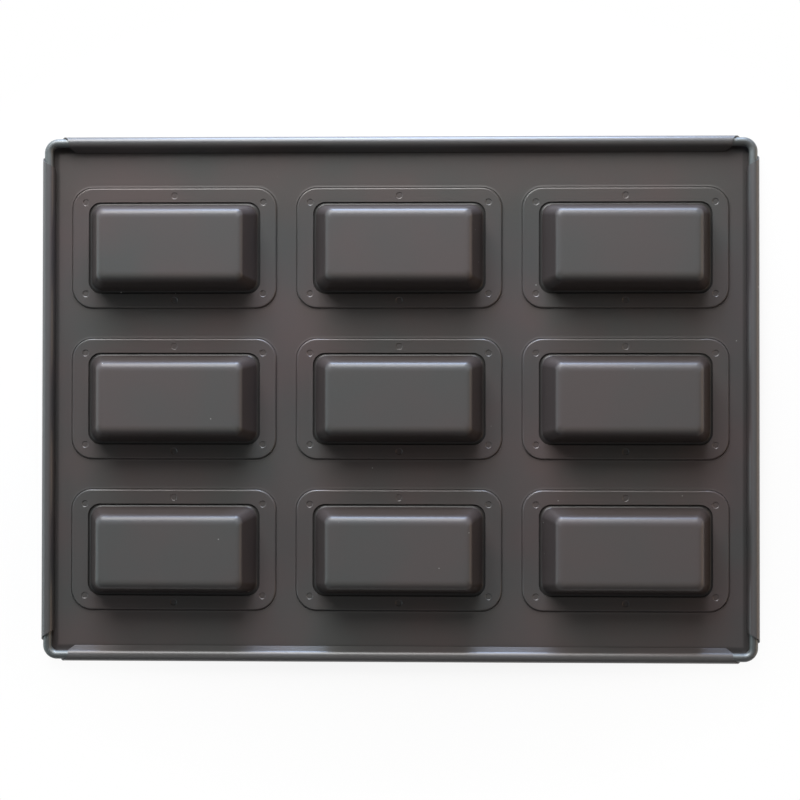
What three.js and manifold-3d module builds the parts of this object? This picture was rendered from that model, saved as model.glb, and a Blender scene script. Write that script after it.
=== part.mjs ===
// A financier pan: nine ingot moulds welded into a pressed sheet whose edges are rolled round a wire.
// It lies face down, so the baking face is at height 0 and the moulds stand up from it.
import * as THREE from "three";
import { mergeVertices } from "three/addons/utils/BufferGeometryUtils.js";
import Module from "manifold-3d";

// The moulds, in millimetres and degrees.
const columns = 3;
const rows = 3;
const mouthLength = 83.7; // where the flange starts to bend into the wall
const mouthWidth = 44.2;
const mouthCornerRadius = 5.6;
const mouldThickness = 0.6;
const mouldHeight = 16.8; // from the flange's baking side to the outside of the floor
const sideDraft = 12; // lean of the long walls from upright
const endDraft = 20; // lean of the short walls from upright
const footRadius = 1.5; // bend between flange and wall, on the hollow side
const sideFloorRadius = 4.4; // bend between long wall and floor, on the outside
const endFloorRadius = 3.6; // bend between short wall and floor, on the outside
const floorCornerRadius = 2; // corner of the flat floor in plan
const endFlange = 7.5; // flange beyond the mouth's short sides
const sideFlange = 6.5; // flange beyond the mouth's long sides
const flangeCornerRadius = 9.1;

// The pressed sheet.
const sheetThickness = 0.6;
const flangeRecess = 0.2; // how far the flange lies inside the baking face
const seatClearance = 0.3; // between the flange's edge and the seat's wall
const seatSlope = 1.2; // run of the pressed step round a seat
const holeClearance = 0.4; // between the mouth and the hole's edge
const columnWeb = 8.8; // flat sheet between two seats in a row
const rowWeb = 13.8; // flat sheet between two seats in a column
const endMargin = 10.7; // from the outer seats to the wire's centre line, left and right
const sideMargin = 21.2; // the same, front and back
const weldDiameter = 3.7;
const weldDepth = 0.2;
const weldShift = 1; // how far the corner welds lie from the middle of the seat, towards its mid-line

// The rolled rim.
const wireDiameter = 4.2;
const wireBendRadius = 4.8; // centre line of a corner bend
const curlClearance = 0.25; // between the wire and the sheet rolled round it
const sideCurlWrap = 240; // turn of the front and back rolls before they run straight down to the sheet
const endCurlWrap = 273; // the same turn on the left and right
const curlTailGap = 0.3; // between the roll's free edge and the flat sheet
const curlEndClearance = 0.4; // from a corner bend to the nearest end of a roll
const curlEndCut = 9; // how much further back the free edge stops than the root

// Facets.
const cornerSteps = 4;
const bendSteps = 3;
const wireSides = 12;
const wireBendSteps = 6;
const curlSteps = 16;
const weldSides = 8;

const flangeLength = mouthLength + 2 * endFlange;
const flangeWidth = mouthWidth + 2 * sideFlange;
const holeLength = mouthLength + 2 * holeClearance;
const holeWidth = mouthWidth + 2 * holeClearance;
const holeCornerRadius = mouthCornerRadius + holeClearance;
const seatLength = flangeLength + 2 * seatClearance;
const seatWidth = flangeWidth + 2 * seatClearance;
const seatCornerRadius = flangeCornerRadius + seatClearance;
const seatHeight = flangeRecess + mouldThickness;
const stepLength = seatLength + 2 * seatSlope;
const stepWidth = seatWidth + 2 * seatSlope;
const stepCornerRadius = seatCornerRadius + seatSlope;
const columnPitch = stepLength + columnWeb;
const rowPitch = stepWidth + rowWeb;
const curlRadius = wireDiameter / 2 + curlClearance + sheetThickness;
const wireLoopLength = (columns - 1) * columnPitch + stepLength + 2 * endMargin;
const wireLoopWidth = (rows - 1) * rowPitch + stepWidth + 2 * sideMargin;
const panLength = wireLoopLength + 2 * curlRadius;
const panWidth = wireLoopWidth + 2 * curlRadius;

const wasm = await Module();
wasm.setup();

// A closed geometry as a solid that can be joined and cut.
function solidOf(geometry) {
  const bare = geometry.clone();
  bare.deleteAttribute("normal");
  bare.deleteAttribute("uv");
  const merged = mergeVertices(bare, 1e-4);
  return new wasm.Manifold(
    new wasm.Mesh({
      numProp: 3,
      vertProperties: new Float32Array(merged.attributes.position.array),
      triVerts: new Uint32Array(merged.index.array),
    }),
  );
}

function geometryOf(solid) {
  const mesh = solid.getMesh();
  const geometry = new THREE.BufferGeometry();
  geometry.setAttribute("position", new THREE.BufferAttribute(mesh.vertProperties, 3));
  geometry.setIndex(new THREE.BufferAttribute(mesh.triVerts, 1));
  return geometry;
}

function geometryFrom(points, triangles) {
  const geometry = new THREE.BufferGeometry();
  geometry.setFromPoints(points);
  geometry.setIndex(triangles);
  return geometry;
}

// Skins a row of matching rings. The ends are closed flat, or the last ring joins the first.
function loft(rings, joined = false) {
  const count = rings[0].length;
  const triangles = [];
  const strips = joined ? rings.length : rings.length - 1;
  for (let strip = 0; strip < strips; strip++) {
    const here = strip * count;
    const next = ((strip + 1) % rings.length) * count;
    for (let i = 0; i < count; i++) {
      const j = (i + 1) % count;
      triangles.push(here + i, here + j, next + j);
      triangles.push(here + i, next + j, next + i);
    }
  }
  if (!joined) {
    const last = (rings.length - 1) * count;
    for (let i = 1; i < count - 1; i++) {
      triangles.push(0, i + 1, i);
      triangles.push(last, last + i, last + i + 1);
    }
  }
  return geometryFrom(rings.flat(), triangles);
}

// A level rectangle with round corners, counterclockwise from above.
function roundedRing(length, width, radius, height) {
  const ring = [];
  for (let corner = 0; corner < 4; corner++) {
    const sideX = corner === 0 || corner === 3 ? 1 : -1;
    const sideY = corner < 2 ? 1 : -1;
    for (let step = 0; step <= cornerSteps; step++) {
      const angle = ((corner + step / cornerSteps) * Math.PI) / 2;
      const x = sideX * (length / 2 - radius) + radius * Math.cos(angle);
      const y = sideY * (width / 2 - radius) + radius * Math.sin(angle);
      ring.push(new THREE.Vector3(x, y, height));
    }
  }
  return ring;
}

function roundedSlab(length, width, radius, from, to) {
  return loft([roundedRing(length, width, radius, from), roundedRing(length, width, radius, to)]);
}

// One kind of mould wall: the middle of its floor bend, and the inset from the mouth at a height on either face.
function mouldWall(lean, floorRadius, footHeight) {
  const draft = THREE.MathUtils.degToRad(lean);
  const floorHeight = flangeRecess + mouldHeight - floorRadius;
  const bends = footRadius + floorRadius;
  const rise = floorHeight - footHeight + bends * Math.sin(draft);
  const floorInset = bends * Math.cos(draft) + rise * Math.tan(draft);
  const across = (radius, height) => Math.sqrt(Math.max(0, radius ** 2 - height ** 2));
  const insetAt = (height, inner) => {
    const foot = footRadius + inner;
    const floor = floorRadius - inner;
    const aboveFoot = height - footHeight + foot * Math.sin(draft);
    if (aboveFoot < 0) return across(foot, footHeight - height);
    if (height > floorHeight + floor * Math.sin(draft)) return floorInset - across(floor, height - floorHeight);
    return foot * Math.cos(draft) + aboveFoot * Math.tan(draft);
  };
  return { draft, floorRadius, floorHeight, floorInset, insetAt };
}

// One mould: a drawn shell of even thickness, from the inside of its floor round the flange to the outside.
function mouldGeometry() {
  const footHeight = seatHeight + footRadius;
  const side = mouldWall(sideDraft, sideFloorRadius, footHeight);
  const end = mouldWall(endDraft, endFloorRadius, footHeight);

  const ringAt = (height, inner) => {
    const sideInset = side.insetAt(height, inner);
    const endInset = end.insetAt(height, inner);
    const radius = THREE.MathUtils.lerp(mouthCornerRadius, floorCornerRadius, sideInset / side.floorInset);
    return roundedRing(mouthLength - 2 * endInset, mouthWidth - 2 * sideInset, radius, height);
  };
  // One face of the shell, from the flange up to the floor.
  const face = (inner) => {
    const heights = [];
    for (let step = 0; step <= bendSteps; step++) {
      const turn = Math.sin(THREE.MathUtils.lerp(Math.PI / 2, side.draft, step / bendSteps));
      heights.push(footHeight - (footRadius + inner) * turn);
      heights.push(side.floorHeight + (side.floorRadius - inner) * turn);
    }
    heights.sort((one, other) => one - other);
    return heights.map((height) => ringAt(height, inner));
  };
  return loft([
    ...face(mouldThickness).reverse(),
    roundedRing(flangeLength, flangeWidth, flangeCornerRadius, flangeRecess),
    roundedRing(flangeLength, flangeWidth, flangeCornerRadius, seatHeight),
    ...face(0),
  ]);
}

// One rolled edge along X on the +Y side, with both ends cut back towards the free edge.
function curlGeometry(run, reach, turned) {
  const centre = reach - curlRadius;
  const wrap = THREE.MathUtils.degToRad(turned);
  const innerRadius = curlRadius - sheetThickness;
  const stations = [];
  stations.push({ y: centre - curlRadius, z: 0, acrossY: 0, acrossZ: sheetThickness, length: 0 });
  for (let step = 0; step <= curlSteps; step++) {
    const turn = (wrap * step) / curlSteps;
    const angle = turn - Math.PI / 2;
    stations.push({
      y: centre + curlRadius * Math.cos(angle),
      z: curlRadius + curlRadius * Math.sin(angle),
      acrossY: -sheetThickness * Math.cos(angle),
      acrossZ: -sheetThickness * Math.sin(angle),
      length: turn * (curlRadius - sheetThickness / 2),
    });
  }
  const last = stations[stations.length - 1];
  const lastAngle = wrap - Math.PI / 2;
  const drop = curlRadius + innerRadius * Math.sin(lastAngle) - sheetThickness - curlTailGap;
  const tail = drop / -Math.cos(lastAngle);
  stations.push({
    ...last,
    y: last.y - tail * Math.sin(lastAngle),
    z: last.z + tail * Math.cos(lastAngle),
    length: last.length + tail,
  });

  const developed = stations[stations.length - 1].length;
  const rootSetback = curlRadius + wireBendRadius + curlEndClearance;
  const points = [];
  for (const { y, z, acrossY, acrossZ, length } of stations) {
    const end = run / 2 - rootSetback - (curlEndCut * length) / developed;
    points.push(new THREE.Vector3(-end, y, z));
    points.push(new THREE.Vector3(end, y, z));
    points.push(new THREE.Vector3(end, y + acrossY, z + acrossZ));
    points.push(new THREE.Vector3(-end, y + acrossY, z + acrossZ));
  }
  const triangles = [];
  const quad = (a, b, c, d) => triangles.push(a, b, c, a, c, d);
  for (let station = 0; station < stations.length - 1; station++) {
    const here = station * 4;
    const next = here + 4;
    for (let side = 0; side < 4; side++) {
      const other = (side + 1) % 4;
      quad(here + side, next + side, next + other, here + other);
    }
  }
  const end = (stations.length - 1) * 4;
  quad(0, 1, 2, 3);
  quad(end + 3, end + 2, end + 1, end);
  return geometryFrom(points, triangles);
}

// The wire: a circle carried round a rectangle with bent corners.
function wireGeometry() {
  const rings = [];
  for (let corner = 0; corner < 4; corner++) {
    const sideX = corner === 0 || corner === 3 ? 1 : -1;
    const sideY = corner < 2 ? 1 : -1;
    for (let step = 0; step <= wireBendSteps; step++) {
      const bearing = ((corner + step / wireBendSteps) * Math.PI) / 2;
      const ring = [];
      for (let side = 0; side < wireSides; side++) {
        const angle = ((side + 0.5) * 2 * Math.PI) / wireSides;
        const out = wireBendRadius + (wireDiameter / 2) * Math.cos(angle);
        const x = sideX * (wireLoopLength / 2 - wireBendRadius) + out * Math.cos(bearing);
        const y = sideY * (wireLoopWidth / 2 - wireBendRadius) + out * Math.sin(bearing);
        const z = curlRadius - (wireDiameter / 2) * Math.sin(angle);
        ring.push(new THREE.Vector3(x, y, z));
      }
      rings.push(ring);
    }
  }
  return loft(rings, true);
}

const mouldPlaces = [];
for (let row = 0; row < rows; row++) {
  for (let column = 0; column < columns; column++) {
    mouldPlaces.push({
      name: `mould_r${row + 1}c${column + 1}`,
      x: (column - (columns - 1) / 2) * columnPitch,
      y: ((rows - 1) / 2 - row) * rowPitch,
    });
  }
}

// The welds lie on the seat: one near each corner and one in the middle of each long side.
function weldPlaces() {
  const onDiagonal = (length, width, radius) => {
    const reach = radius * (1 - Math.SQRT1_2);
    return new THREE.Vector2(length / 2 - reach, width / 2 - reach);
  };
  const outer = onDiagonal(seatLength, seatWidth, seatCornerRadius);
  const inner = onDiagonal(holeLength, holeWidth, holeCornerRadius);
  const corner = outer.add(inner).multiplyScalar(0.5);
  corner.y -= weldShift;
  const middle = (seatWidth + holeWidth) / 4;
  const places = [];
  for (const side of [-1, 1]) {
    places.push(new THREE.Vector2(0, side * middle));
    places.push(new THREE.Vector2(-corner.x, side * corner.y));
    places.push(new THREE.Vector2(corner.x, side * corner.y));
  }
  return places;
}

function sheetGeometry() {
  const seatTop = seatHeight + sheetThickness;
  let sheet = solidOf(roundedSlab(wireLoopLength, wireLoopWidth, wireBendRadius, 0, sheetThickness));
  [sideCurlWrap, endCurlWrap, sideCurlWrap, endCurlWrap].forEach((turned, side) => {
    const along = side % 2 === 0 ? panLength : panWidth;
    const across = side % 2 === 0 ? panWidth : panLength;
    sheet = sheet.add(solidOf(curlGeometry(along, across / 2, turned).rotateZ((side * Math.PI) / 2)));
  });

  const raised = loft([
    roundedRing(stepLength, stepWidth, stepCornerRadius, sheetThickness / 2),
    roundedRing(stepLength, stepWidth, stepCornerRadius, sheetThickness),
    roundedRing(seatLength, seatWidth, seatCornerRadius, seatTop),
  ]);
  const recess = loft([
    roundedRing(stepLength, stepWidth, stepCornerRadius, -sheetThickness),
    roundedRing(stepLength, stepWidth, stepCornerRadius, 0),
    roundedRing(seatLength, seatWidth, seatCornerRadius, seatHeight),
  ]);
  const hole = roundedSlab(holeLength, holeWidth, holeCornerRadius, 0, 2 * seatTop);
  const weldCut = new THREE.CylinderGeometry(weldDiameter / 2, weldDiameter / 2, 2 * weldDepth, weldSides);
  weldCut.rotateX(Math.PI / 2);

  for (const { x, y } of mouldPlaces) {
    sheet = sheet.add(solidOf(raised.clone().translate(x, y, 0)));
    sheet = sheet.subtract(solidOf(recess.clone().translate(x, y, 0)));
    sheet = sheet.subtract(solidOf(hole.clone().translate(x, y, 0)));
    for (const weld of weldPlaces()) {
      sheet = sheet.subtract(solidOf(weldCut.clone().translate(x + weld.x, y + weld.y, seatTop)));
    }
  }
  return geometryOf(sheet);
}

function piece(name, geometry, color, roughness, metalness) {
  geometry.computeVertexNormals();
  const mesh = new THREE.Mesh(geometry, new THREE.MeshStandardMaterial({ color, roughness, metalness }));
  mesh.name = name;
  return mesh;
}

const pan = new THREE.Group();
pan.add(piece("base_sheet", sheetGeometry(), 0x5c5755, 0.45, 0.3));
pan.add(piece("rim_wire", wireGeometry(), 0x6d737a, 0.4, 0.7));
const mouldShape = mouldGeometry();
for (const { name, x, y } of mouldPlaces) {
  const mould = piece(name, mouldShape, 0x5e5e5f, 0.42, 0.3);
  mould.position.set(x, y, 0);
  pan.add(mould);
}

export default pan;
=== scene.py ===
import math
from types import SimpleNamespace

import bmesh
import bpy
from bpy.props import FloatProperty, FloatVectorProperty, IntProperty, PointerProperty
from mathutils import Matrix, Vector


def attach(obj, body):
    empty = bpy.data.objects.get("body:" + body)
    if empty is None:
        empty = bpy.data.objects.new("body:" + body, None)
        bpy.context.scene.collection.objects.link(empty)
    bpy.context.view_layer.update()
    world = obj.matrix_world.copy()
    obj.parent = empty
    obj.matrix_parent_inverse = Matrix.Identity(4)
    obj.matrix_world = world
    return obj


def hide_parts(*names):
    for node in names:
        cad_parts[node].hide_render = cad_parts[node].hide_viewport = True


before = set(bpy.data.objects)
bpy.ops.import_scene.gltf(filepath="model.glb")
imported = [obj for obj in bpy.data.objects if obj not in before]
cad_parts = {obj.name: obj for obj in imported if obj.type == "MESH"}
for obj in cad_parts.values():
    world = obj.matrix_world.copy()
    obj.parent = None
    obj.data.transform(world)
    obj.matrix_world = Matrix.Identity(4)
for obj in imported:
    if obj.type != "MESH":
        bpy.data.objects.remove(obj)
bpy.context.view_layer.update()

bl_info = {
    "name": "Financier pan",
    "version": (1, 0, 0),
    "blender": (4, 5, 0),
    "location": "3D View > Sidebar > Pan",
    "description": "Builds a welded baking pan with ingot moulds, lying face down",
    "category": "Add Mesh",
}

MM = 0.001
CORNER_STEPS = 10
FOOT_STEPS = 6
FLOOR_STEPS = 12
EASE_STEPS = 4
STEP_STEPS = 5
HOLE_STEPS = 3
CURL_STEPS = 30
TAIL_STEPS = 4
WIRE_SIDES = 24
WIRE_BEND_STEPS = 14
WELD_SIDES = 20
WELD_STEPS = 5
LOOP_LIFT = 50 * MM
MERGE_DISTANCE = 1e-7
SHARP_ANGLE = math.radians(50)
SQUARE_ON = 0.999

SHEET_COAT_IOR = 1.6
MOULD_COAT_IOR = 1.41

# Sockets of the Mix node for colours, by number because their names repeat.
MIX_SHARE, MIX_UNDER, MIX_OVER, MIX_RESULT = 0, 6, 7, 2

# In metres, apart from the sensor's width, which Blender takes in millimetres.
FLOOR_REACH = 3.0
FLOOR_DROP = 0.05 * MM
LIGHT_DISTANCE = 1.1
SENSOR_WIDTH = 36

# Soft panels that face the pan. Width and height are in metres. Bearing is clockwise from the back of the
# pan and elevation is above the table, both in degrees.
LIGHTS = {
    "window": SimpleNamespace(width=0.971, height=0.68, bearing=-12.5, elevation=28.5, tint="#FFFFFF"),
    "low_window": SimpleNamespace(width=0.587, height=0.154, bearing=0, elevation=5, tint="#BCD6FF"),
    "high_window": SimpleNamespace(width=0.68, height=0.329, bearing=12.5, elevation=53.5, tint="#FFFFFF"),
    "left_room": SimpleNamespace(width=1.27, height=0.508, bearing=-90, elevation=15, tint="#E4F9FF"),
    "right_room": SimpleNamespace(width=1.27, height=0.508, bearing=90, elevation=15, tint="#FFDDBB"),
    "front_room": SimpleNamespace(width=2.4, height=0.8, bearing=180, elevation=25, tint="#F0F2FF"),
    "ceiling": SimpleNamespace(width=1.6, height=0.6, bearing=180, elevation=60, tint="#FFFFFF"),
}


def linear(hex_colour):
    """An sRGB hex colour as linear red, green and blue."""
    channels = [int(hex_colour[start : start + 2], 16) / 255 for start in (1, 3, 5)]
    return [level / 12.92 if level <= 0.04045 else ((level + 0.055) / 1.055) ** 2.4 for level in channels]


def length(name, millimetres, description):
    """A size, given in millimetres."""
    return FloatProperty(
        name=name, description=description, default=millimetres * MM, unit="LENGTH", precision=5
    )


def angle(name, degrees, description):
    """An angle, given in degrees."""
    radians = math.radians(degrees)
    return FloatProperty(
        name=name, description=description, default=radians, subtype="ANGLE", unit="ROTATION"
    )


def colour(name, hex_colour, description):
    """A colour, given as an sRGB hex value."""
    shade = linear(hex_colour)
    return FloatVectorProperty(
        name=name, description=description, default=shade, subtype="COLOR", size=3, min=0, max=1
    )


def power(name, watts, description):
    """The power of a light, given in watts."""
    return FloatProperty(name=name, description=description, default=watts, unit="POWER")


class PanSizes(bpy.types.PropertyGroup):
    """Sizes of the pressed pieces and the wire."""

    columns: IntProperty(name="Columns", description="Moulds in a row", default=3)
    rows: IntProperty(name="Rows", description="Rows of moulds", default=3)
    mouth_length: length("Mouth length", 83.7, "Mould mouth where the flange starts to bend")
    mouth_width: length("Mouth width", 44.2, "Mould mouth where the flange starts to bend")
    mouth_corner: length("Mouth corner", 5.6, "Corner radius of the mouth in plan")
    mould_wall: length("Mould wall", 0.6, "Thickness of the drawn moulds")
    mould_height: length("Mould height", 16.8, "From the flange's baking side to the outside of the floor")
    side_draft: angle("Side draft", 12, "Lean of the moulds' long walls from upright")
    end_draft: angle("End draft", 20, "Lean of the moulds' short walls from upright")
    foot_radius: length("Foot radius", 1.5, "Bend between flange and wall, on the hollow side")
    end_floor_radius: length("End floor radius", 3.6, "Bend between short wall and floor, on the outside")
    side_floor_radius: length("Side floor radius", 4.4, "Bend between long wall and floor, on the outside")
    floor_ease: length("Floor ease", 14, "Wide radius with which the floor runs into that bend")
    floor_ease_tilt: angle("Floor ease tilt", 6, "Tilt that the wide radius reaches")
    floor_corner: length("Floor corner", 2.0, "Corner radius of the flat floor in plan")
    end_flange: length("End flange", 7.5, "Flange beyond the mouth's short sides")
    side_flange: length("Side flange", 6.5, "Flange beyond the mouth's long sides")
    flange_corner: length("Flange corner", 9.1, "Corner radius of the flange")
    sheet: length("Sheet", 0.6, "Thickness of the pressed sheet")
    flange_recess: length("Flange recess", 0.2, "How far the flange lies inside the baking face")
    seat_clearance: length("Seat clearance", 0.3, "Between the flange's edge and the seat's wall")
    seat_slope: length("Seat slope", 1.2, "Run of the pressed step in the solid model")
    step_foot: length("Step foot", 6, "Wide hollow radius at the foot of the pressed step")
    step_tilt: angle("Step tilt", 12, "Tilt that the wide foot reaches")
    step_crease: length("Step crease", 0.38, "Depth of the crease that the die leaves below the steep part")
    step_crease_run: length("Step crease run", 0.19, "Run of that crease")
    step_bend: length("Step bend", 0.7, "Radius with which the step's steep part runs into the seat")
    step_inset: length("Step inset", 0.2, "How far that bend reaches into the seat")
    step_steep: angle("Step steepness", 60, "Tilt of the step's steep part")
    hole_clearance: length("Hole clearance", 0.4, "Between the mouth and the hole's edge")
    hole_round: length("Hole rounding", 0.06, "Rounding that the coating gives the cut edge of a hole")
    column_web: length("Column web", 8.8, "Flat sheet between two seats in a row")
    row_web: length("Row web", 13.8, "Flat sheet between two seats in a column")
    end_margin: length("End margin", 10.7, "From the outer seats to the wire, left and right")
    side_margin: length("Side margin", 21.2, "From the outer seats to the wire, front and back")
    weld: length("Weld", 3.5, "Diameter of a spot weld's dimple")
    weld_edge: length("Weld edge", 0.45, "Run of the dimple's sloping edge round its flat bottom")
    weld_depth: length("Weld depth", 0.25, "Depth of a spot weld's dimple")
    weld_shift: length("Weld shift", 1.0, "How far a corner weld lies inside the middle of the seat")
    wire: length("Wire", 4.2, "Diameter of the rim wire")
    wire_bend: length("Wire bend", 4.8, "Radius of the wire's centre line at a corner")
    curl_clearance: length("Curl clearance", 0.25, "Between the wire and the sheet rolled round it")
    side_curl_wrap: angle("Side curl wrap", 240, "Turn of the front and back rolls round the wire")
    end_curl_wrap: angle("End curl wrap", 273, "The same turn on the left and right")
    curl_tail_gap: length("Curl tail gap", 0.3, "Between the roll's free edge and the flat sheet")
    side_curl_clearance: length("Side curl clearance", 0.4, "From a corner to the front and back rolls")
    end_curl_clearance: length("End curl clearance", 1.2, "From a corner to the left and right rolls")
    side_curl_cut: length("Side curl cut", 5.4, "How far the ends of the front and back rolls are cut back")
    end_curl_cut: length("End curl cut", 6.0, "How far the ends of the left and right rolls are cut back")
    side_cut_turn: angle("Side cut turn", 200, "Turn of the front and back rolls over which that cut runs")
    end_cut_turn: angle("End cut turn", 273, "Turn of the left and right rolls over which that cut runs")
    curl_tail_cut: length("Curl tail cut", 2.5, "Chamfer at each end of the roll's free edge")


class PanFinishes(bpy.types.PropertyGroup):
    """Colours of the coatings, the wire and the table, and of the painted light and shade on the coatings.
    """

    sheet_coat: colour("Sheet coat", "#50504F", "Coating on the pressed sheet")
    sheet_coat_warm: colour("Sheet coat, warm", "#584F4E", "Cloudy warm patches in that coating")
    # Painted light: a paler colour on the rolls, standing in for the light and reflections they catch.
    painted_roll_light: colour("Sheet edge coat", "#595858", "That coating rubbed paler on the rolled edges")
    mould_coat: colour("Mould coat", "#555554", "Coating on the moulds")
    mould_coat_warm: colour("Mould coat, warm", "#5A5453", "Cloudy warm patches in that coating")
    # Painted shade: a darker colour on the moulds' steep walls, standing in for the shade on them.
    painted_wall_shade: colour("Mould wall coat", "#413B3A", "That coating where it is drawn thin")
    # Painted shade: a near-black colour in the crevice at the moulds' foot and in the groove inside the
    # rolls.
    painted_shade: colour("Residue", "#191817", "Baked-on residue in the crevices")
    dust: colour("Dust", "#A8A7A5", "Tiny pale specks in the coating")
    wire: colour("Wire", "#777B7B", "Bare drawn wire at the corners")
    floor: colour("Floor", "#FFFFFF", "Table top under the pan")


class PanStage(bpy.types.PropertyGroup):
    """Camera and lights."""

    camera_place: FloatVectorProperty(
        name="Camera place", description="Where the photograph was taken from",
        default=(0.01615, -0.0074, 0.7052), subtype="TRANSLATION", unit="LENGTH",
    )
    camera_turn: FloatVectorProperty(
        name="Camera turn", description="Tilt of the camera from straight down",
        default=[math.radians(turn) for turn in (0.56, 1.277, 0.071)], subtype="EULER",
    )
    camera_lens: FloatProperty(name="Camera lens", description="Focal length", default=64.78, unit="CAMERA")
    window_power: power("Window", 20.7, "Power of the wide window behind the pan")
    low_window_power: power("Low window", 17.0, "Power of the bluish window just above the table")
    high_window_power: power("High window", 1.2, "Power of the dim window high up behind the pan")
    left_room_power: power("Left room", 3.5, "Power of the pale wall to the left")
    right_room_power: power("Right room", 3.0, "Power of the warm wall to the right")
    front_room_power: power("Front room", 1.1, "Power of the dim room in front of the pan")
    ceiling_power: power("Ceiling", 0.6, "Power of the dim ceiling in front of the pan")
    room_level: FloatProperty(
        name="Room level", description="Strength of the even light from all round", default=0.02, min=0
    )


def layout(sizes):
    """Sizes and places that follow from the driving sizes."""
    at = SimpleNamespace()
    at.flange_length = sizes.mouth_length + 2 * sizes.end_flange
    at.flange_width = sizes.mouth_width + 2 * sizes.side_flange
    at.hole_length = sizes.mouth_length + 2 * sizes.hole_clearance
    at.hole_width = sizes.mouth_width + 2 * sizes.hole_clearance
    at.hole_corner = sizes.mouth_corner + sizes.hole_clearance
    at.seat_length = at.flange_length + 2 * sizes.seat_clearance
    at.seat_width = at.flange_width + 2 * sizes.seat_clearance
    at.seat_corner = sizes.flange_corner + sizes.seat_clearance
    at.seat_under = sizes.flange_recess + sizes.mould_wall
    at.seat_top = at.seat_under + sizes.sheet
    at.column_pitch = at.seat_length + 2 * sizes.seat_slope + sizes.column_web
    at.row_pitch = at.seat_width + 2 * sizes.seat_slope + sizes.row_web
    at.curl_radius = sizes.wire / 2 + sizes.curl_clearance + sizes.sheet
    end_border = sizes.seat_slope + sizes.end_margin
    side_border = sizes.seat_slope + sizes.side_margin
    at.loop_length = (sizes.columns - 1) * at.column_pitch + at.seat_length + 2 * end_border
    at.loop_width = (sizes.rows - 1) * at.row_pitch + at.seat_width + 2 * side_border
    at.places = {}
    for row in range(sizes.rows):
        for column in range(sizes.columns):
            x = (column - (sizes.columns - 1) / 2) * at.column_pitch
            y = ((sizes.rows - 1) / 2 - row) * at.row_pitch
            at.places[f"r{row + 1}c{column + 1}"] = Vector((x, y, 0))
    return at


def rounded_loop(bm, long, wide, radius, height):
    """Adds the outline of a level rectangle with round corners and returns its edges."""
    corners = bmesh.ops.create_grid(bm, x_segments=1, y_segments=1, size=0.5)["verts"]
    bmesh.ops.scale(bm, vec=(long, wide, 1), verts=corners)
    bmesh.ops.translate(bm, vec=(0, 0, height), verts=corners)
    rounded = bmesh.ops.bevel(
        bm, geom=corners, offset=radius, offset_type="OFFSET", segments=CORNER_STEPS, profile=0.5,
        affect="VERTICES", material=-1, clamp_overlap=False,
    )["verts"]
    face = rounded[0].link_faces[0]
    edges = list(face.edges)
    bmesh.ops.delete(bm, geom=[face], context="FACES_ONLY")
    return edges


def round_loop(bm, radius, centre, sides):
    """Adds a level circle and returns its edges."""
    verts = bmesh.ops.create_circle(bm, segments=sides, radius=radius)["verts"]
    bmesh.ops.translate(bm, vec=centre, verts=verts)
    return list({edge for vert in verts for edge in vert.link_edges})


def skin(bm, loops):
    """Bridges each loop to the next, which is lifted meanwhile: loops on one level can pair up twisted."""
    lift = Vector((0, 0, LOOP_LIFT))
    for here, following in zip(loops, loops[1:]):
        verts = list({vert for edge in following for vert in edge.verts})
        bmesh.ops.translate(bm, vec=lift, verts=verts)
        bmesh.ops.bridge_loops(bm, edges=here + following)
        bmesh.ops.translate(bm, vec=-lift, verts=verts)


def as_pattern(bm):
    """A mesh to copy from, made of a bmesh."""
    pattern = bpy.data.meshes.new("pattern")
    bm.to_mesh(pattern)
    bm.free()
    return pattern


def add_copy(bm, pattern, place):
    """Adds a copy of a pattern mesh at its place."""
    before = len(bm.verts)
    bm.from_mesh(pattern)
    bm.verts.ensure_lookup_table()
    bmesh.ops.translate(bm, vec=place, verts=bm.verts[before:])


def finish_piece(bm, name, material, slot, *nodes):
    """Makes a smooth object of a closed bmesh, in place of its CAD nodes."""
    bmesh.ops.remove_doubles(bm, verts=bm.verts, dist=MERGE_DISTANCE)
    bmesh.ops.recalc_face_normals(bm, faces=bm.faces)
    mesh = bpy.data.meshes.new(name)
    bm.to_mesh(mesh)
    bm.free()
    mesh.shade_smooth()
    mesh.set_sharp_from_angle(angle=SHARP_ANGLE)
    mesh.materials.append(material)
    piece = bpy.data.objects.new(name, mesh)
    bpy.context.scene.collection.objects.link(piece)
    weighted = piece.modifiers.new("Even shading", "WEIGHTED_NORMAL")
    weighted.keep_sharp = True
    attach(piece, "root")
    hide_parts(*nodes)
    return piece


def add_node(tree, kind, settings=None, links=None):
    """Adds a shader node, with values for its properties or sockets and links into its sockets."""
    node = tree.nodes.new(kind)
    for key, value in (settings or {}).items():
        if isinstance(key, int) or key in node.inputs:
            node.inputs[key].default_value = value
        else:
            setattr(node, key, value)
    for socket, source in (links or {}).items():
        tree.links.new(source, node.inputs[socket])
    return node


def new_material(name):
    """A material without nodes, and its node tree."""
    material = bpy.data.materials.get(name) or bpy.data.materials.new(name)
    material.use_nodes = True
    material.node_tree.nodes.clear()
    return material, material.node_tree


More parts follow.
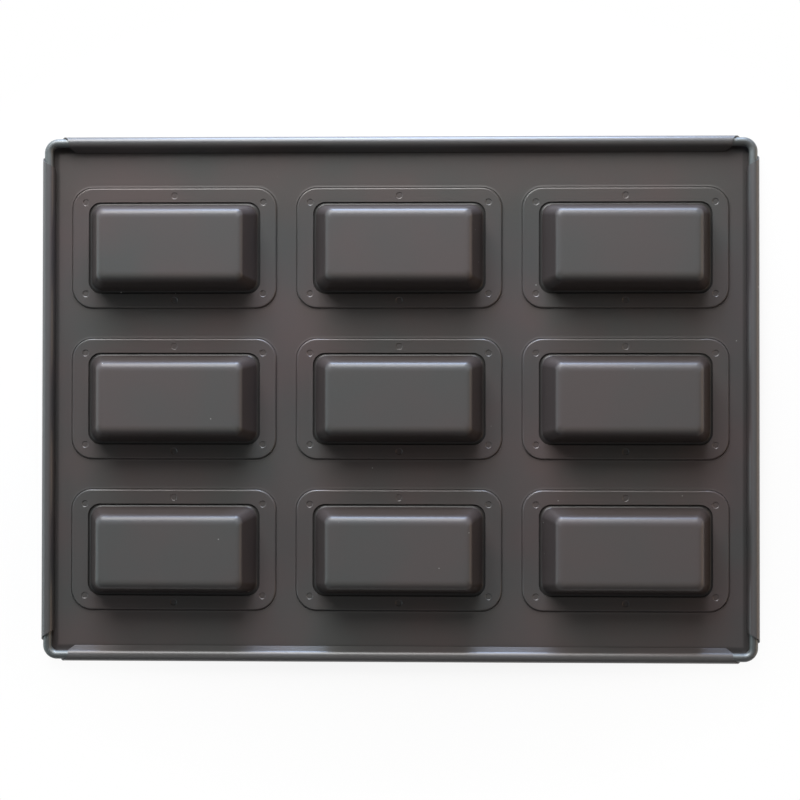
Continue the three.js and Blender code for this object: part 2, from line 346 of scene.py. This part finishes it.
def paint_wall_and_crevice_shade(tree, base, place, wall, painted_shade, low, high):
    """Painted shade: a darker colour on the steep walls, and a near-black one in the crevice at their foot
    between two heights.
    """
    # How far the surface faces up or down where the painted shade on the walls starts and where it is
    # darkest.
    level, steepest = 0.95, 0.45
    most_painted_shade = 0.8
    normal = add_node(tree, "ShaderNodeNewGeometry").outputs["Normal"]
    facing = add_node(tree, "ShaderNodeSeparateXYZ", links={0: normal}).outputs["Z"]
    flat = add_node(tree, "ShaderNodeMath", {"operation": "ABSOLUTE"}, {0: facing}).outputs[0]
    steep = add_node(
        tree, "ShaderNodeMapRange", {"From Min": level, "From Max": steepest}, {"Value": flat}
    ).outputs["Result"]
    # Painted shade on the steep walls.
    base = add_node(
        tree, "ShaderNodeMix", {"data_type": "RGBA", MIX_OVER: (*wall, 1)},
        {MIX_SHARE: steep, MIX_UNDER: base},
    ).outputs[MIX_RESULT]
    # Painted shade in the crevice at the walls' foot, by height.
    height = add_node(tree, "ShaderNodeSeparateXYZ", links={0: place}).outputs["Z"]
    depth = add_node(
        tree, "ShaderNodeMapRange", {"From Min": high, "From Max": low, "To Max": most_painted_shade},
        {"Value": height},
    ).outputs["Result"]
    upward = add_node(tree, "ShaderNodeMath", {"operation": "GREATER_THAN", 1: 0}, {0: facing}).outputs[0]
    shade_share = add_node(tree, "ShaderNodeMath", {"operation": "MULTIPLY"}, {0: depth, 1: upward}).outputs[0]
    return add_node(
        tree, "ShaderNodeMix", {"data_type": "RGBA", MIX_OVER: (*painted_shade, 1)},
        {MIX_SHARE: shade_share, MIX_UNDER: base},
    ).outputs[MIX_RESULT]


def paint_roll_light_and_groove_shade(tree, base, place, painted_light, painted_shade, half_length, half_width):
    """Painted light on the rolled edges as a paler colour, and painted shade in the groove inside them as a
    near-black one, by distance from the edge.
    """
    roll_inside, roll_top = 4.6 * MM, 3.6 * MM
    groove_start, groove_full, groove_fade, groove_end = 4.2 * MM, 5.6 * MM, 7 * MM, 8 * MM
    most_painted_shade = 0.5
    # The painted shade stays off surfaces that face down more than this.
    overhang = -0.3
    axes = add_node(tree, "ShaderNodeSeparateXYZ", links={0: place})
    inside = {}
    for socket, axis, half in ((0, "X", half_length), (1, "Y", half_width)):
        out = add_node(tree, "ShaderNodeMath", {"operation": "ABSOLUTE"}, {0: axes.outputs[axis]}).outputs[0]
        left = add_node(tree, "ShaderNodeMath", {"operation": "SUBTRACT", 0: half}, {1: out}).outputs[0]
        inside[socket] = left
    edge = add_node(tree, "ShaderNodeMath", {"operation": "MINIMUM"}, inside).outputs[0]
    # Painted light on the rolls.
    light_share = add_node(
        tree, "ShaderNodeMapRange", {"From Min": roll_inside, "From Max": roll_top}, {"Value": edge}
    ).outputs["Result"]
    base = add_node(
        tree, "ShaderNodeMix", {"data_type": "RGBA", MIX_OVER: (*painted_light, 1)},
        {MIX_SHARE: light_share, MIX_UNDER: base},
    ).outputs[MIX_RESULT]
    # Painted shade in the groove inside the rolls.
    begin = add_node(
        tree, "ShaderNodeMapRange",
        {"From Min": groove_start, "From Max": groove_full, "To Max": most_painted_shade}, {"Value": edge},
    ).outputs["Result"]
    end = add_node(
        tree, "ShaderNodeMapRange", {"From Min": groove_end, "From Max": groove_fade}, {"Value": edge}
    ).outputs["Result"]
    groove = add_node(tree, "ShaderNodeMath", {"operation": "MULTIPLY"}, {0: begin, 1: end}).outputs[0]
    normal = add_node(tree, "ShaderNodeNewGeometry").outputs["Normal"]
    facing = add_node(tree, "ShaderNodeSeparateXYZ", links={0: normal}).outputs["Z"]
    upward = add_node(
        tree, "ShaderNodeMath", {"operation": "GREATER_THAN", 1: overhang}, {0: facing}
    ).outputs[0]
    shade_share = add_node(tree, "ShaderNodeMath", {"operation": "MULTIPLY"}, {0: groove, 1: upward}).outputs[0]
    return add_node(
        tree, "ShaderNodeMix", {"data_type": "RGBA", MIX_OVER: (*painted_shade, 1)},
        {MIX_SHARE: shade_share, MIX_UNDER: base},
    ).outputs[MIX_RESULT]


def coat_material(name, plain, warm, dust, index, drawn=None, rolled=None):
    """Sprayed and baked non-stick coat on steel: satin, slightly pebbled, faintly cloudy, with a few specks.

    A piece with drawn walls or rolled edges gives the values for the painted shade on its walls and crevice,
    or for the painted light on its rolls and the painted shade in their groove.
    """
    cloud_size, speck_spacing = 55 * MM, 14 * MM
    # The sprayed grain is about 0.2 mm; it is drawn at 0.7 mm so that it shows.
    grain_size, grain_height = 0.7 * MM, 0.03 * MM
    plain_below, warm_above = 0.35, 0.65
    speck_edge, speck_core = 0.026, 0.014
    smoothest, roughest = 0.33, 0.39
    pebbling = 0.25
    material, tree = new_material(name)
    place = add_node(tree, "ShaderNodeTexCoord").outputs["Object"]
    cloud = add_node(
        tree, "ShaderNodeTexNoise", {"Scale": 1 / cloud_size, "Detail": 3}, {"Vector": place}
    ).outputs["Fac"]
    grain = add_node(tree, "ShaderNodeTexNoise", {"Scale": 1 / grain_size, "Detail": 2}, {"Vector": place})
    speck = add_node(
        tree, "ShaderNodeTexVoronoi", {"Scale": 1 / speck_spacing, "feature": "F1"}, {"Vector": place}
    )
    cloudy = add_node(
        tree, "ShaderNodeMapRange", {"From Min": plain_below, "From Max": warm_above}, {"Value": cloud}
    )
    base = add_node(
        tree, "ShaderNodeMix", {"data_type": "RGBA", MIX_UNDER: (*plain, 1), MIX_OVER: (*warm, 1)},
        {MIX_SHARE: cloudy.outputs["Result"]},
    ).outputs[MIX_RESULT]
    # Painted shade on steep walls and in crevices, and painted light on rolls.
    if drawn:
        base = paint_wall_and_crevice_shade(tree, base, place, *drawn)
    if rolled:
        base = paint_roll_light_and_groove_shade(tree, base, place, *rolled)
    dusty = add_node(
        tree, "ShaderNodeMapRange", {"From Min": speck_edge, "From Max": speck_core},
        {"Value": speck.outputs["Distance"]},
    )
    base = add_node(
        tree, "ShaderNodeMix", {"data_type": "RGBA", MIX_OVER: (*dust, 1)},
        {MIX_SHARE: dusty.outputs["Result"], MIX_UNDER: base},
    ).outputs[MIX_RESULT]
    rough = add_node(
        tree, "ShaderNodeMapRange", {"To Min": smoothest, "To Max": roughest}, {"Value": cloud}
    ).outputs["Result"]
    pebbles = add_node(
        tree, "ShaderNodeBump", {"Strength": pebbling, "Distance": grain_height},
        {"Height": grain.outputs["Fac"]},
    ).outputs["Normal"]
    shader = add_node(
        tree, "ShaderNodeBsdfPrincipled", {"IOR": index, "Metallic": 0.0},
        {"Base Color": base, "Roughness": rough, "Normal": pebbles},
    )
    add_node(tree, "ShaderNodeOutputMaterial", links={"Surface": shader.outputs["BSDF"]})
    return material


def wire_material(name, steel):
    """Bright drawn steel wire gone dull: soft metal shine with faint stains."""
    stain_size, stain_shade = 3 * MM, 0.8
    smoothest, roughest = 0.42, 0.55
    stained = [level * stain_shade for level in steel]
    material, tree = new_material(name)
    place = add_node(tree, "ShaderNodeTexCoord").outputs["Object"]
    stain = add_node(
        tree, "ShaderNodeTexNoise", {"Scale": 1 / stain_size, "Detail": 3}, {"Vector": place}
    ).outputs["Fac"]
    rough = add_node(tree, "ShaderNodeMapRange", {"To Min": smoothest, "To Max": roughest}, {"Value": stain})
    tint = add_node(
        tree, "ShaderNodeMix", {"data_type": "RGBA", MIX_UNDER: (*stained, 1), MIX_OVER: (*steel, 1)},
        {MIX_SHARE: stain},
    )
    shader = add_node(
        tree, "ShaderNodeBsdfPrincipled", {"Metallic": 0.6},
        {"Base Color": tint.outputs[MIX_RESULT], "Roughness": rough.outputs["Result"]},
    )
    add_node(tree, "ShaderNodeOutputMaterial", links={"Surface": shader.outputs["BSDF"]})
    return material


def table_material(name, white):
    """Smooth white table top: it keeps the pan's soft shadow and is plain white further away."""
    near, far, near_share = 176 * MM, 280 * MM, 0.88
    # Drawn out across the pan's width, so that plain white begins equally far from all its edges.
    stretch = 1, 1.36, 1
    material, tree = new_material(name)
    path = add_node(tree, "ShaderNodeLightPath").outputs
    seen = path["Is Camera Ray"]
    for ray in ("Is Glossy Ray", "Is Transmission Ray"):
        seen = add_node(tree, "ShaderNodeMath", {"operation": "MAXIMUM"}, {0: seen, 1: path[ray]}).outputs[0]
    place = add_node(tree, "ShaderNodeTexCoord").outputs["Object"]
    drawn_out = add_node(tree, "ShaderNodeVectorMath", {"operation": "MULTIPLY", 1: stretch}, {0: place})
    away = add_node(tree, "ShaderNodeVectorMath", {"operation": "LENGTH"}, {0: drawn_out.outputs[0]})
    plain = add_node(
        tree, "ShaderNodeMapRange", {"From Min": near, "From Max": far, "To Min": near_share},
        {"Value": away.outputs["Value"]},
    ).outputs["Result"]
    share = add_node(tree, "ShaderNodeMath", {"operation": "MULTIPLY"}, {0: seen, 1: plain}).outputs[0]
    shaded = add_node(tree, "ShaderNodeBsdfDiffuse", {"Color": (*white, 1)}).outputs[0]
    even = add_node(tree, "ShaderNodeEmission", {"Color": (1, 1, 1, 1), "Strength": 1.0}).outputs[0]
    mixed = add_node(tree, "ShaderNodeMixShader", links={0: share, 1: shaded, 2: even})
    add_node(tree, "ShaderNodeOutputMaterial", links={"Surface": mixed.outputs[0]})
    return material


def step_profile(sizes, rise, crease):
    """Steps in and up of the pressed step: a wide hollow foot, a crease, a steep part and a round top."""
    points = [(0, 0)]

    def bend(radius, start, end):
        reach, height = points[-1]
        side = 1 if end > start else -1
        for step in range(1, STEP_STEPS + 1):
            turn = start + (end - start) * step / STEP_STEPS
            run = side * radius * (math.sin(turn) - math.sin(start))
            points.append((reach + run, height + side * radius * (math.cos(start) - math.cos(turn))))

    bend(sizes.step_foot, 0, sizes.step_tilt)
    points.append((points[-1][0] + sizes.step_crease_run, points[-1][1] - crease))
    left = rise - points[-1][1] - sizes.step_bend * (1 - math.cos(sizes.step_steep))
    points.append((points[-1][0] + left / math.tan(sizes.step_steep), points[-1][1] + left))
    bend(sizes.step_bend, sizes.step_steep, 0)
    return points


def weld_places(sizes, at):
    """Places on the seat near its corners and in the middle of its long sides."""
    inwards = (1 - math.sqrt(0.5)) * (at.seat_corner + at.hole_corner) / 2
    middle = (at.seat_width + at.hole_width) / 4
    corner_x = (at.seat_length + at.hole_length) / 4 - inwards
    corner_y = middle - inwards - sizes.weld_shift
    spots = (0, middle), (-corner_x, corner_y), (corner_x, corner_y)
    return [Vector((x, side * y, 0)) for side in (-1, 1) for x, y in spots]


def add_weld(bm, sizes, top):
    """Adds the flat-bottomed dimple of one spot weld and returns its rim."""
    rings = []
    for step in range(WELD_STEPS + 1):
        share = step / WELD_STEPS
        depth = sizes.weld_depth * (1 - math.cos(math.pi * share)) / 2
        radius = sizes.weld / 2 - share * sizes.weld_edge
        rings.append(round_loop(bm, radius, top - Vector((0, 0, depth)), WELD_SIDES))
    skin(bm, rings)
    bmesh.ops.edgeloop_fill(bm, edges=rings[-1])
    return rings[0]


def press_seat(sizes, at):
    """One pressed seat with its hole and welds, open along its foot above and below."""
    bm = bmesh.new()
    profile = step_profile(sizes, at.seat_top - sizes.sheet, sizes.step_crease)
    under = step_profile(sizes, at.seat_under, 0)

    def grown_loop(long, wide, corner, grow, height):
        return rounded_loop(bm, long + 2 * grow, wide + 2 * grow, corner + grow, height)

    def seat_loop(grow, height):
        return grown_loop(at.seat_length, at.seat_width, at.seat_corner, grow, height)

    def hole_loop(grow, height):
        return grown_loop(at.hole_length, at.hole_width, at.hole_corner, grow, height)

    run = profile[-1][0] - sizes.step_inset
    upper = [seat_loop(run - inward, sizes.sheet + up) for inward, up in profile]
    lower = [seat_loop(under[-1][0] - inward, up) for inward, up in under]
    skin(bm, upper)
    skin(bm, lower)
    edge = []
    for step in range(HOLE_STEPS + 1):
        turn = math.pi / 2 * step / HOLE_STEPS
        drop = sizes.hole_round * (1 - math.cos(turn))
        edge.append(hole_loop(sizes.hole_round * (1 - math.sin(turn)), at.seat_top - drop))
    skin(bm, edge + [hole_loop(0, at.seat_under), lower[-1]])
    rims = [add_weld(bm, sizes, spot + Vector((0, 0, at.seat_top))) for spot in weld_places(sizes, at)]
    bmesh.ops.triangle_fill(bm, use_beauty=True, edges=upper[-1] + edge[0] + sum(rims, []))
    return bm


def add_curl(bm, sizes, at, face, outward, wrap, cut, cut_turn):
    """Rolls the sheet's edge face round the wire, with its ends cut back towards the free edge."""
    along = Vector((-outward.y, outward.x, 0))
    middle = face.calc_center_median()
    centre = Vector((middle.x, middle.y, at.curl_radius))
    last = wrap - math.pi / 2
    inner_radius = at.curl_radius - sizes.sheet
    drop = at.curl_radius + inner_radius * math.sin(last) - sizes.sheet - sizes.curl_tail_gap
    tail = drop / -math.cos(last)
    down = outward * -math.sin(last) + Vector((0, 0, math.cos(last)))

    def extrude(shorter):
        nonlocal face
        made = bmesh.ops.extrude_discrete_faces(bm, faces=[face])["faces"]
        face = made[0]
        for vert in face.verts:
            side = 1 if (vert.co - middle).dot(along) > 0 else -1
            bmesh.ops.translate(bm, vec=along * -side * shorter, verts=[vert])
        return list(face.verts)

    def cut_back(turn):
        share = min(1, turn / cut_turn)
        return cut * share * share * (3 - 2 * share)

    for step in range(CURL_STEPS):
        turn, following = (wrap * count / CURL_STEPS for count in (step, step + 1))
        verts = extrude(cut_back(following) - cut_back(turn))
        bmesh.ops.rotate(bm, cent=centre, matrix=Matrix.Rotation(turn - following, 3, along), verts=verts)
    for step in range(TAIL_STEPS):
        verts = extrude(sizes.curl_tail_cut / TAIL_STEPS)
        bmesh.ops.translate(bm, vec=down * tail / TAIL_STEPS, verts=verts)


class PAN_OT_base_sheet(bpy.types.Operator):
    """Presses the sheet with its seats and rolls its four edges"""

    bl_idname = "pan.base_sheet"
    bl_label = "Pressed sheet"

    def execute(self, context):
        sizes, finishes = context.scene.pan_sizes, context.scene.pan_finishes
        at = layout(sizes)
        bm = bmesh.new()
        low = rounded_loop(bm, at.loop_length, at.loop_width, sizes.wire_bend, 0)
        top = rounded_loop(bm, at.loop_length, at.loop_width, sizes.wire_bend, sizes.sheet)
        skin(bm, [low, top])
        self.roll_edges(bm, sizes, at)
        pattern = as_pattern(press_seat(sizes, at))
        for place in at.places.values():
            add_copy(bm, pattern, place)
        bpy.data.meshes.remove(pattern)
        self.fill_faces(bm, sizes)
        half_length = at.loop_length / 2 + at.curl_radius
        half_width = at.loop_width / 2 + at.curl_radius
        # The sheet's coat, with painted light on its rolls and painted shade in the groove inside them.
        coat = coat_material(
            "non_stick_coat_on_pressed_steel", finishes.sheet_coat, finishes.sheet_coat_warm, finishes.dust,
            SHEET_COAT_IOR, rolled=(finishes.painted_roll_light, finishes.painted_shade, half_length, half_width),
        )
        finish_piece(bm, "pressed_sheet", coat, "coated_sheet", "base_sheet")
        return {"FINISHED"}

    def roll_edges(self, bm, sizes, at):
        """Cuts the blank's sides where the rolls end, and rolls each straight part round the wire."""
        across, back = Vector((1, 0, 0)), Vector((0, 1, 0))
        side_reach = at.loop_length / 2 - sizes.wire_bend - sizes.side_curl_clearance
        end_reach = at.loop_width / 2 - sizes.wire_bend - sizes.end_curl_clearance
        for reach, axis in ((side_reach, across), (end_reach, back)):
            for side in (-1, 1):
                everything = bm.verts[:] + bm.edges[:] + bm.faces[:]
                bmesh.ops.bisect_plane(bm, geom=everything, plane_co=axis * side * reach, plane_no=axis)
        end_roll = sizes.end_curl_wrap, sizes.end_curl_cut, sizes.end_cut_turn
        side_roll = sizes.side_curl_wrap, sizes.side_curl_cut, sizes.side_cut_turn
        rolls = (across, end_roll), (back, side_roll), (-across, end_roll), (-back, side_roll)
        for outward, roll in rolls:
            facing = [face for face in bm.faces if abs(face.normal.dot(outward)) > SQUARE_ON]
            facing = [face for face in facing if face.calc_center_median().dot(outward) > 0]
            add_curl(bm, sizes, at, max(facing, key=lambda face: face.calc_area()), outward, *roll)

    def fill_faces(self, bm, sizes):
        """Fills the sheet's upper and lower faces between its edges and the seats."""
        rims = [edge for edge in bm.edges if edge.is_boundary]
        upper = [edge for edge in rims if edge.verts[0].co.z > sizes.sheet / 2]
        lower = [edge for edge in rims if edge.verts[0].co.z < sizes.sheet / 2]
        for edges in (upper, lower):
            bmesh.ops.triangle_fill(bm, use_beauty=True, edges=edges)


class PAN_OT_rim_wire(bpy.types.Operator):
    """Bends the wire round the rim"""

    bl_idname = "pan.rim_wire"
    bl_label = "Rim wire"

    def execute(self, context):
        sizes, finishes = context.scene.pan_sizes, context.scene.pan_finishes
        at = layout(sizes)
        straight_x = at.loop_length / 2 - sizes.wire_bend
        straight_y = at.loop_width / 2 - sizes.wire_bend
        bm = bmesh.new()
        ring = bmesh.ops.create_circle(bm, segments=WIRE_SIDES, radius=sizes.wire / 2)["verts"]
        bmesh.ops.rotate(bm, matrix=Matrix.Rotation(math.pi / 2, 3, "X"), verts=ring)
        bmesh.ops.translate(bm, vec=(at.loop_length / 2, straight_y, at.curl_radius), verts=ring)
        first = list({edge for vert in ring for edge in vert.link_edges})
        loop = first
        bends = (
            (straight_x, straight_y, Vector((-2 * straight_x, 0, 0))),
            (-straight_x, straight_y, Vector((0, -2 * straight_y, 0))),
            (-straight_x, -straight_y, Vector((2 * straight_x, 0, 0))),
            (straight_x, -straight_y, None),
        )
        for x, y, run in bends:
            made = bmesh.ops.spin(
                bm, geom=loop, cent=(x, y, at.curl_radius), axis=(0, 0, 1), angle=math.pi / 2,
                steps=WIRE_BEND_STEPS,
            )["geom_last"]
            loop = [item for item in made if isinstance(item, bmesh.types.BMEdge)]
            if run is None:
                bmesh.ops.bridge_loops(bm, edges=loop + first)
                break
            made = bmesh.ops.extrude_edge_only(bm, edges=loop)["geom"]
            moved = [item for item in made if isinstance(item, bmesh.types.BMVert)]
            bmesh.ops.translate(bm, vec=run, verts=moved)
            edges = [item for item in made if isinstance(item, bmesh.types.BMEdge)]
            loop = [edge for edge in edges if all(vert in moved for vert in edge.verts)]
        steel = wire_material("dull_drawn_steel_wire", finishes.wire)
        finish_piece(bm, "wire_loop", steel, "rim_wire", "rim_wire")
        return {"FINISHED"}


class PAN_OT_moulds(bpy.types.Operator):
    """Draws the ingot moulds and sets one in each seat"""

    bl_idname = "pan.moulds"
    bl_label = "Ingot moulds"

    def execute(self, context):
        sizes, finishes = context.scene.pan_sizes, context.scene.pan_finishes
        at = layout(sizes)
        # Height up to which painted shade darkens the crevice at the moulds' foot.
        crevice_top = at.seat_top + sizes.foot_radius / 4
        # The moulds' coat, with painted shade on their steep walls and in that crevice.
        coat = coat_material(
            "non_stick_coat_on_drawn_steel", finishes.mould_coat, finishes.mould_coat_warm, finishes.dust,
            MOULD_COAT_IOR, drawn=(finishes.painted_wall_shade, finishes.painted_shade, at.seat_under, crevice_top),
        )
        pattern = as_pattern(self.draw_mould(sizes, at))
        for name, place in at.places.items():
            bm = bmesh.new()
            add_copy(bm, pattern, place)
            finish_piece(bm, "ingot_mould_" + name, coat, "coated_mould", "mould_" + name)
        bpy.data.meshes.remove(pattern)
        return {"FINISHED"}

    def draw_mould(self, sizes, at):
        """One drawn shell of even thickness, from inside its floor round the flange to its outside."""
        ease = sizes.floor_ease_tilt
        top = sizes.flange_recess + sizes.mould_height
        foot_height = at.seat_under + sizes.foot_radius
        walls = (sizes.end_draft, sizes.end_floor_radius), (sizes.side_draft, sizes.side_floor_radius)
        bm = bmesh.new()

        def floor_height(radius):
            return top - radius - (sizes.floor_ease - radius) * (1 - math.cos(ease))

        def floor_inset(draft, radius):
            bends = sizes.foot_radius + radius
            rise = floor_height(radius) - foot_height + bends * math.sin(draft)
            return bends * math.cos(draft) + rise * math.tan(draft)

        def inset(draft, radius, height, inner):
            foot, floor = sizes.foot_radius + inner, radius - inner
            above_foot = height - foot_height + foot * math.sin(draft)
            above_floor = height - floor_height(radius)
            if above_foot < 0:
                return math.sqrt(max(0, foot**2 - (foot_height - height) ** 2))
            if above_floor > floor * math.sin(draft):
                return floor_inset(draft, radius) - math.sqrt(max(0, floor**2 - above_floor**2))
            return foot * math.cos(draft) + above_foot * math.tan(draft)

        def ring(insets, height):
            share = insets[1] / floor_inset(*walls[1])
            radius = sizes.mouth_corner + (sizes.floor_corner - sizes.mouth_corner) * min(1, share)
            return rounded_loop(
                bm, sizes.mouth_length - 2 * insets[0], sizes.mouth_width - 2 * insets[1], radius, height
            )

        def flange(height):
            return rounded_loop(bm, at.flange_length, at.flange_width, sizes.flange_corner, height)

        def turns(start, end, steps):
            return [start + (end - start) * step / steps for step in range(steps + 1)]

        def face(inner):
            level = math.pi / 2
            draft, radius = walls[1]
            foot = sizes.foot_radius + inner
            heights = [foot_height - foot * math.sin(turn) for turn in turns(level, draft, FOOT_STEPS)]
            heights += [
                floor_height(radius) + (radius - inner) * math.sin(turn)
                for turn in turns(draft, level - ease, FLOOR_STEPS)
            ]
            rings = [ring([inset(*wall, height, inner) for wall in walls], height) for height in heights]
            wide = sizes.floor_ease - inner
            for tilt in turns(ease, 0, EASE_STEPS)[1:]:
                run = wide * (math.sin(ease) - math.sin(tilt))
                insets = [floor_inset(*wall) + run - (wall[1] - inner) * math.sin(ease) for wall in walls]
                rings.append(ring(insets, top - sizes.floor_ease + wide * math.cos(tilt)))
            return rings

        inside, outside = face(sizes.mould_wall)[::-1], face(0)
        skin(bm, inside + [flange(sizes.flange_recess), flange(at.seat_under)] + outside)
        bmesh.ops.edgeloop_fill(bm, edges=inside[0])
        bmesh.ops.edgeloop_fill(bm, edges=outside[-1])
        return bm


class PAN_OT_stage(bpy.types.Operator):
    """Lays the floor, hangs the lights and sets up the camera"""

    bl_idname = "pan.stage"
    bl_label = "Stage"

    def execute(self, context):
        scene, stage = context.scene, context.scene.pan_stage
        self.lay_floor(scene)
        self.light_room(scene, stage)
        for name, panel in LIGHTS.items():
            self.add_light(scene, name, panel, getattr(stage, name + "_power"))
        self.place_camera(scene, stage)
        scene.view_settings.view_transform = "Standard"
        return {"FINISHED"}

    def lay_floor(self, scene):
        """Lays the table top just under the pan."""
        bm = bmesh.new()
        bmesh.ops.create_grid(bm, x_segments=1, y_segments=1, size=FLOOR_REACH)
        bmesh.ops.translate(bm, vec=(0, 0, -FLOOR_DROP), verts=bm.verts)
        mesh = bpy.data.meshes.new("floor")
        bm.to_mesh(mesh)
        bm.free()
        mesh.materials.append(table_material("white_table_top", scene.pan_finishes.floor))
        floor = bpy.data.objects.new("floor", mesh)
        scene.collection.objects.link(floor)

    def light_room(self, scene, stage):
        """Gives a little even light from all round, and white where the camera looks past the table."""
        world = bpy.data.worlds.new("room")
        world.use_nodes = True
        tree = world.node_tree
        tree.nodes.clear()
        seen = add_node(tree, "ShaderNodeLightPath").outputs["Is Camera Ray"]
        even = add_node(tree, "ShaderNodeBackground", {"Color": (1, 1, 1, 1), "Strength": stage.room_level})
        white = add_node(tree, "ShaderNodeBackground", {"Color": (1, 1, 1, 1), "Strength": 1.0})
        mixed = add_node(
            tree, "ShaderNodeMixShader", links={0: seen, 1: even.outputs[0], 2: white.outputs[0]}
        )
        add_node(tree, "ShaderNodeOutputWorld", links={"Surface": mixed.outputs[0]})
        scene.world = world

    def add_light(self, scene, name, panel, watts):
        """Hangs one soft panel so that it faces the pan."""
        data = bpy.data.lights.new(name, "AREA")
        data.shape = "RECTANGLE"
        data.size, data.size_y = panel.width, panel.height
        data.energy = watts
        data.color = linear(panel.tint)
        bearing, elevation = math.radians(panel.bearing), math.radians(panel.elevation)
        level = math.cos(elevation)
        away = Vector((math.sin(bearing) * level, math.cos(bearing) * level, math.sin(elevation)))
        light = bpy.data.objects.new(name, data)
        light.location = LIGHT_DISTANCE * away
        light.rotation_euler = away.to_track_quat("Z", "Y").to_euler()
        scene.collection.objects.link(light)

    def place_camera(self, scene, stage):
        """Sets up the camera above the pan, as in the photograph."""
        camera = bpy.data.objects.new("camera", bpy.data.cameras.new("camera"))
        camera.location = stage.camera_place
        camera.rotation_euler = stage.camera_turn
        camera.data.lens = stage.camera_lens
        camera.data.sensor_width = SENSOR_WIDTH
        scene.collection.objects.link(camera)
        scene.camera = camera


class PAN_PT_sidebar(bpy.types.Panel):
    """Sizes, finishes and steps of the pan"""

    bl_label = "Financier pan"
    bl_space_type = "VIEW_3D"
    bl_region_type = "UI"
    bl_category = "Pan"

    def draw(self, context):
        for group in (context.scene.pan_sizes, context.scene.pan_finishes, context.scene.pan_stage):
            box = self.layout.box()
            for name in group.bl_rna.properties.keys():
                if name not in ("rna_type", "name"):
                    box.prop(group, name)
        for step in STEPS:
            self.layout.operator(step.bl_idname)


STEPS = (PAN_OT_base_sheet, PAN_OT_rim_wire, PAN_OT_moulds, PAN_OT_stage)
GROUPS = {"pan_sizes": PanSizes, "pan_finishes": PanFinishes, "pan_stage": PanStage}


def register():
    """Registers the classes and adds their settings to the scene."""
    for cls in (*GROUPS.values(), *STEPS, PAN_PT_sidebar):
        bpy.utils.register_class(cls)
    for name, group in GROUPS.items():
        setattr(bpy.types.Scene, name, PointerProperty(type=group))


def unregister():
    """Takes the settings and classes away again."""
    for name in GROUPS:
        delattr(bpy.types.Scene, name)
    for cls in (PAN_PT_sidebar, *reversed(STEPS), *reversed(GROUPS.values())):
        bpy.utils.unregister_class(cls)


def main():
    """Builds the stage and the pan."""
    register()
    bpy.ops.pan.stage()
    bpy.ops.pan.base_sheet()
    bpy.ops.pan.rim_wire()
    bpy.ops.pan.moulds()


if __name__ == "__main__":
    main()
